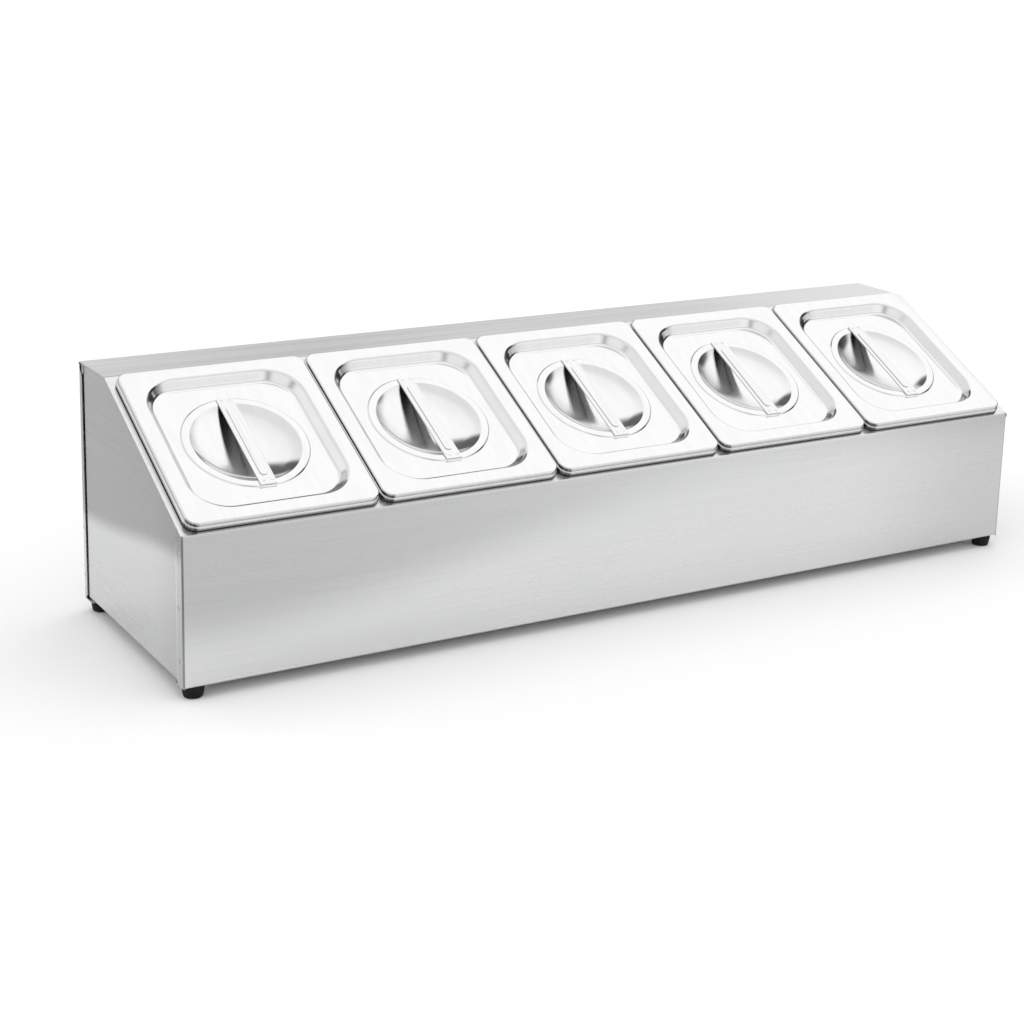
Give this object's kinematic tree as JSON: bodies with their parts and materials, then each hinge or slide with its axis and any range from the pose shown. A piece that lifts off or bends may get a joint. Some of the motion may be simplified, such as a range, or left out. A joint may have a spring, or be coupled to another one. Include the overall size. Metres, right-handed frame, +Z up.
{
  "type": "sloped food pan holder",
  "caption": "Sheet-steel countertop holder with a sloped top, deep food pans hung side by side, and a lift-off lid with a strip handle on each.",
  "frame": {"origin": "on the table, under the middle of the housing's footprint", "axes": "+X runs to the right along the row of pans, +Y runs from the low front to the high back, +Z is up"},
  "size_m": [0.825, 0.225, 0.2188],
  "materials": {
    "housing_steel": "satin, brushed along each sheet",
    "bracket_steel": "plain mill finish",
    "foot_rubber": "matt black",
    "fastener_steel": "zinc plated",
    "pan_steel": "bright, lightly polished",
    "lid_steel": "polished, with soft reflections",
    "handle_steel": "polished"
  },
  "bodies": {
    "housing": {"main_shell": "housing_steel", "left_end_panel": "housing_steel", "right_end_panel": "housing_steel", "bracket_front_left": "bracket_steel", "bracket_front_right": "bracket_steel", "bracket_back_left": "bracket_steel", "bracket_back_right": "bracket_steel", "foot_front_left": "foot_rubber", "foot_front_right": "foot_rubber", "foot_back_left": "foot_rubber", "foot_back_right": "foot_rubber", "foot_washers": "fastener_steel", "foot_screws": "fastener_steel", "foot_nuts": "fastener_steel"},
    "pan_body_1": {"pan_1": "pan_steel"},
    "lid_body_1": {"lid_1": "lid_steel", "lid_handle_1": "handle_steel"},
    "pan_body_2": {"pan_2": "pan_steel"},
    "lid_body_2": {"lid_2": "lid_steel", "lid_handle_2": "handle_steel"},
    "pan_body_3": {"pan_3": "pan_steel"},
    "lid_body_3": {"lid_3": "lid_steel", "lid_handle_3": "handle_steel"},
    "pan_body_4": {"pan_4": "pan_steel"},
    "lid_body_4": {"lid_4": "lid_steel", "lid_handle_4": "handle_steel"},
    "pan_body_5": {"pan_5": "pan_steel"},
    "lid_body_5": {"lid_5": "lid_steel", "lid_handle_5": "handle_steel"}
  },
  "joints": [
    {"name": "pan_lift_1", "type": "slide", "parent": "housing", "child": "pan_body_1", "axis": [0, -0.4625, 0.8866], "range_m": [0, 0.12]},
    {"name": "pan_lift_2", "type": "slide", "parent": "housing", "child": "pan_body_2", "axis": [0, -0.4625, 0.8866], "range_m": [0, 0.12]},
    {"name": "pan_lift_3", "type": "slide", "parent": "housing", "child": "pan_body_3", "axis": [0, -0.4625, 0.8866], "range_m": [0, 0.12]},
    {"name": "pan_lift_4", "type": "slide", "parent": "housing", "child": "pan_body_4", "axis": [0, -0.4625, 0.8866], "range_m": [0, 0.12]},
    {"name": "pan_lift_5", "type": "slide", "parent": "housing", "child": "pan_body_5", "axis": [0, -0.4625, 0.8866], "range_m": [0, 0.12]},
    {"name": "lid_lift_1", "type": "slide", "parent": "pan_body_1", "child": "lid_body_1", "axis": [0, -0.4625, 0.8866], "range_m": [0, 0.06]},
    {"name": "lid_lift_2", "type": "slide", "parent": "pan_body_2", "child": "lid_body_2", "axis": [0, -0.4625, 0.8866], "range_m": [0, 0.06]},
    {"name": "lid_lift_3", "type": "slide", "parent": "pan_body_3", "child": "lid_body_3", "axis": [0, -0.4625, 0.8866], "range_m": [0, 0.06]},
    {"name": "lid_lift_4", "type": "slide", "parent": "pan_body_4", "child": "lid_body_4", "axis": [0, -0.4625, 0.8866], "range_m": [0, 0.06]},
    {"name": "lid_lift_5", "type": "slide", "parent": "pan_body_5", "child": "lid_body_5", "axis": [0, -0.4625, 0.8866], "range_m": [0, 0.06]}
  ]
}
